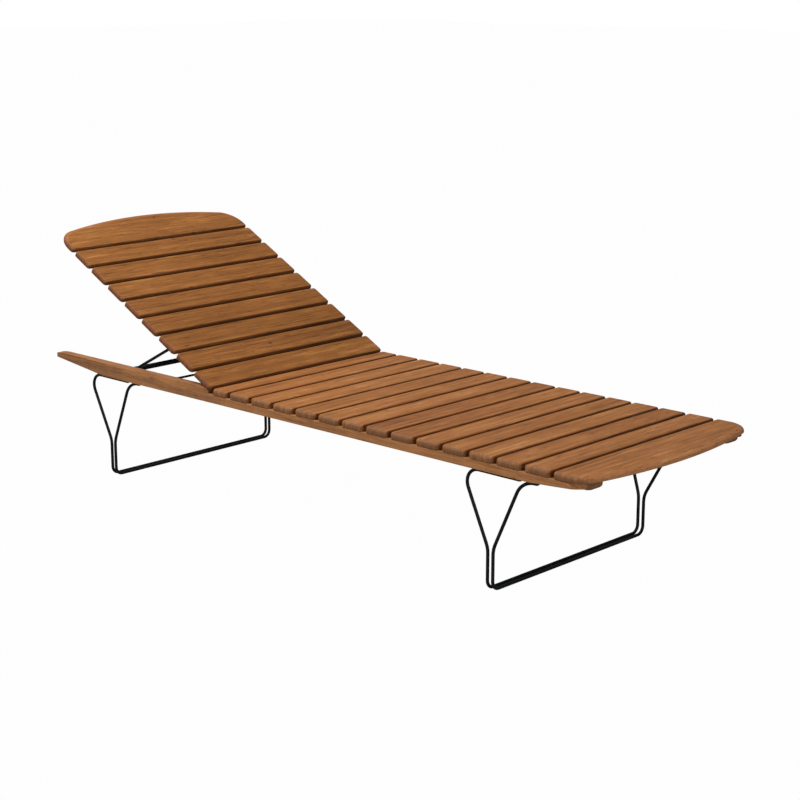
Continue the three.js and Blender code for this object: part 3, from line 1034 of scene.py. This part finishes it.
@dataclass
class Studio:
    """The pale floor, the soft lights and the camera of the photograph."""

    camera_place: tuple[float, float, float] = (3.0895, -3.1829, 1.3737)
    camera_forward: tuple[float, float, float] = (-0.6672, 0.7058, -0.2380)
    focal_pixels: float = 1779.96
    sensor: float = 36.0
    floor_side: float = 60.0
    ambient: float = 0.36
    floor_glow: float = 0.985
    floor_drop: float = 0.2 * MM
    floor_colour: Rgba = (0.16, 0.16, 0.16, 1)
    floor_roughness: float = 0.9
    view_end: float = 100
    aim: tuple[float, float, float] = (0, 0, 0.35)
    lamps: tuple[tuple[str, tuple[float, float, float], float, float], ...] = (
        ("key", (-1.5, -1.7, 3.8), 304, 1.4),
        ("fill", (0.8, -3.8, 1.5), 48, 2.4),
        ("foot_fill", (3.8, -0.9, 0.2), 70, 1.4),
    )

    def build(self) -> None:
        """Sets up everything round the lounger."""
        self.camera()
        self.floor()
        self.world()
        for lamp in self.lamps:
            self.lamp(*lamp)
        bpy.context.scene.view_settings.view_transform = "Standard"

    def camera(self) -> None:
        """Places the camera where the photograph was taken from."""
        data = bpy.data.cameras.new("camera")
        data.sensor_width = self.sensor
        data.sensor_fit = "HORIZONTAL"
        data.lens = self.focal_pixels / PHOTO_SIDE * self.sensor
        data.clip_end = self.view_end
        camera = bpy.data.objects.new("camera", data)
        turn = Vector(self.camera_forward).to_track_quat("-Z", "Y").to_matrix().to_4x4()
        camera.matrix_world = Matrix.Translation(self.camera_place) @ turn
        bpy.context.scene.collection.objects.link(camera)
        bpy.context.scene.camera = camera

    def floor(self) -> None:
        """A wide white floor that keeps a faint shadow."""
        half = self.floor_side / 2
        corners = np.array([[-half, -half, 0], [half, -half, 0], [half, half, 0], [-half, half, 0]])
        floor = make_mesh("floor", corners - np.array([0, 0, self.floor_drop]), [[0, 1, 2, 3]], smooth=False)
        shader = Shader("white_floor")
        graph = shader.graph
        shader.put("Base Color", self.floor_colour)
        shader.put("Roughness", self.floor_roughness)
        seen = Sock(graph, graph.node("ShaderNodeLightPath").outputs["Is Camera Ray"]) * self.floor_glow
        glow = graph.node("ShaderNodeEmission").outputs[0]
        mix = graph.node("ShaderNodeMixShader", inputs={0: seen, 1: shader.surface.outputs[0], 2: glow})
        graph.feed(mix.outputs[0], graph.tree.nodes["Material Output"].inputs[0])
        floor.data.materials.append(shader.material)

    def world(self) -> None:
        """Even light from all round, and white to the camera."""
        world = bpy.data.worlds.new("studio")
        world.use_nodes = True
        graph = Graph(world.node_tree)
        background = graph.tree.nodes["Background"]
        seen = Sock(graph, graph.node("ShaderNodeLightPath").outputs["Is Camera Ray"])
        graph.feed(seen * (1 - self.ambient) + self.ambient, background.inputs["Strength"])
        graph.feed((1, 1, 1, 1), background.inputs["Color"])
        bpy.context.scene.world = world

    def lamp(self, name: str, place: tuple[float, float, float], watts: float, size: float) -> None:
        """A square soft lamp that faces the seat's middle.

        Args:
            name: The lamp's name.
            place: Where it hangs.
            watts: Its power.
            size: Its side.
        """
        data = bpy.data.lights.new(name, "AREA")
        data.energy = watts
        data.size = size
        lamp = bpy.data.objects.new(name, data)
        aim = Vector(self.aim) - Vector(place)
        lamp.matrix_world = Matrix.Translation(place) @ aim.to_track_quat("-Z", "Y").to_matrix().to_4x4()
        bpy.context.scene.collection.objects.link(lamp)


def main() -> None:
    """Builds the lounger from its sub-assemblies and sets the scene."""
    logging.basicConfig(level=logging.INFO, format="%(name)s: %(message)s")
    grain = Grain()
    seat_bamboo = Bamboo(
        "seat_bamboo_oiled",
        light=linear(166, 121, 68),
        rosy=linear(170, 118, 80),
        middle=linear(126, 76, 29),
        dark=linear(68, 30, 5),
        end_grain=linear(90, 58, 34),
    ).material()
    back_bamboo = Bamboo(
        "back_bamboo_oiled",
        light=linear(151, 102, 46),
        rosy=linear(154, 98, 56),
        middle=linear(111, 66, 20),
        dark=linear(60, 28, 4),
        # End grain darker than on the seat: partly the wood's own end grain, partly painted shade on the
        # backrest's slat ends, laid over more of each end.
        end_grain=linear(78, 36, 5),
        end_least=0.6,
    ).material()
    rail_bamboo = Bamboo(
        "rail_bamboo_oiled",
        light=linear(176, 127, 74),
        rosy=linear(178, 121, 78),
        middle=linear(138, 92, 52),
        dark=linear(92, 56, 30),
        end_grain=linear(86, 58, 38),
        strand=Pattern((9.0, 300.0, 300.0), 4.0, 0.6),
        band=Pattern((3.0, 40.0, 40.0), 3.0),
        cloud=Pattern((16.0, 12.0, 12.0), 2.0),
        strand_share=0.7,
        band_share=0.2,
        cloud_share=0.34,
        tone_share=0.5,
    ).material()
    steel = BlackSteel().material()
    Studio().build()
    Seat(grain, seat_bamboo).build()
    Backrest(grain, back_bamboo, rail_bamboo).build()
    Rails(grain, rail_bamboo).build()
    Hardware(steel).build()
    Prop(steel).build()
    Legs(steel).build()


if __name__ == "__main__":
    main()
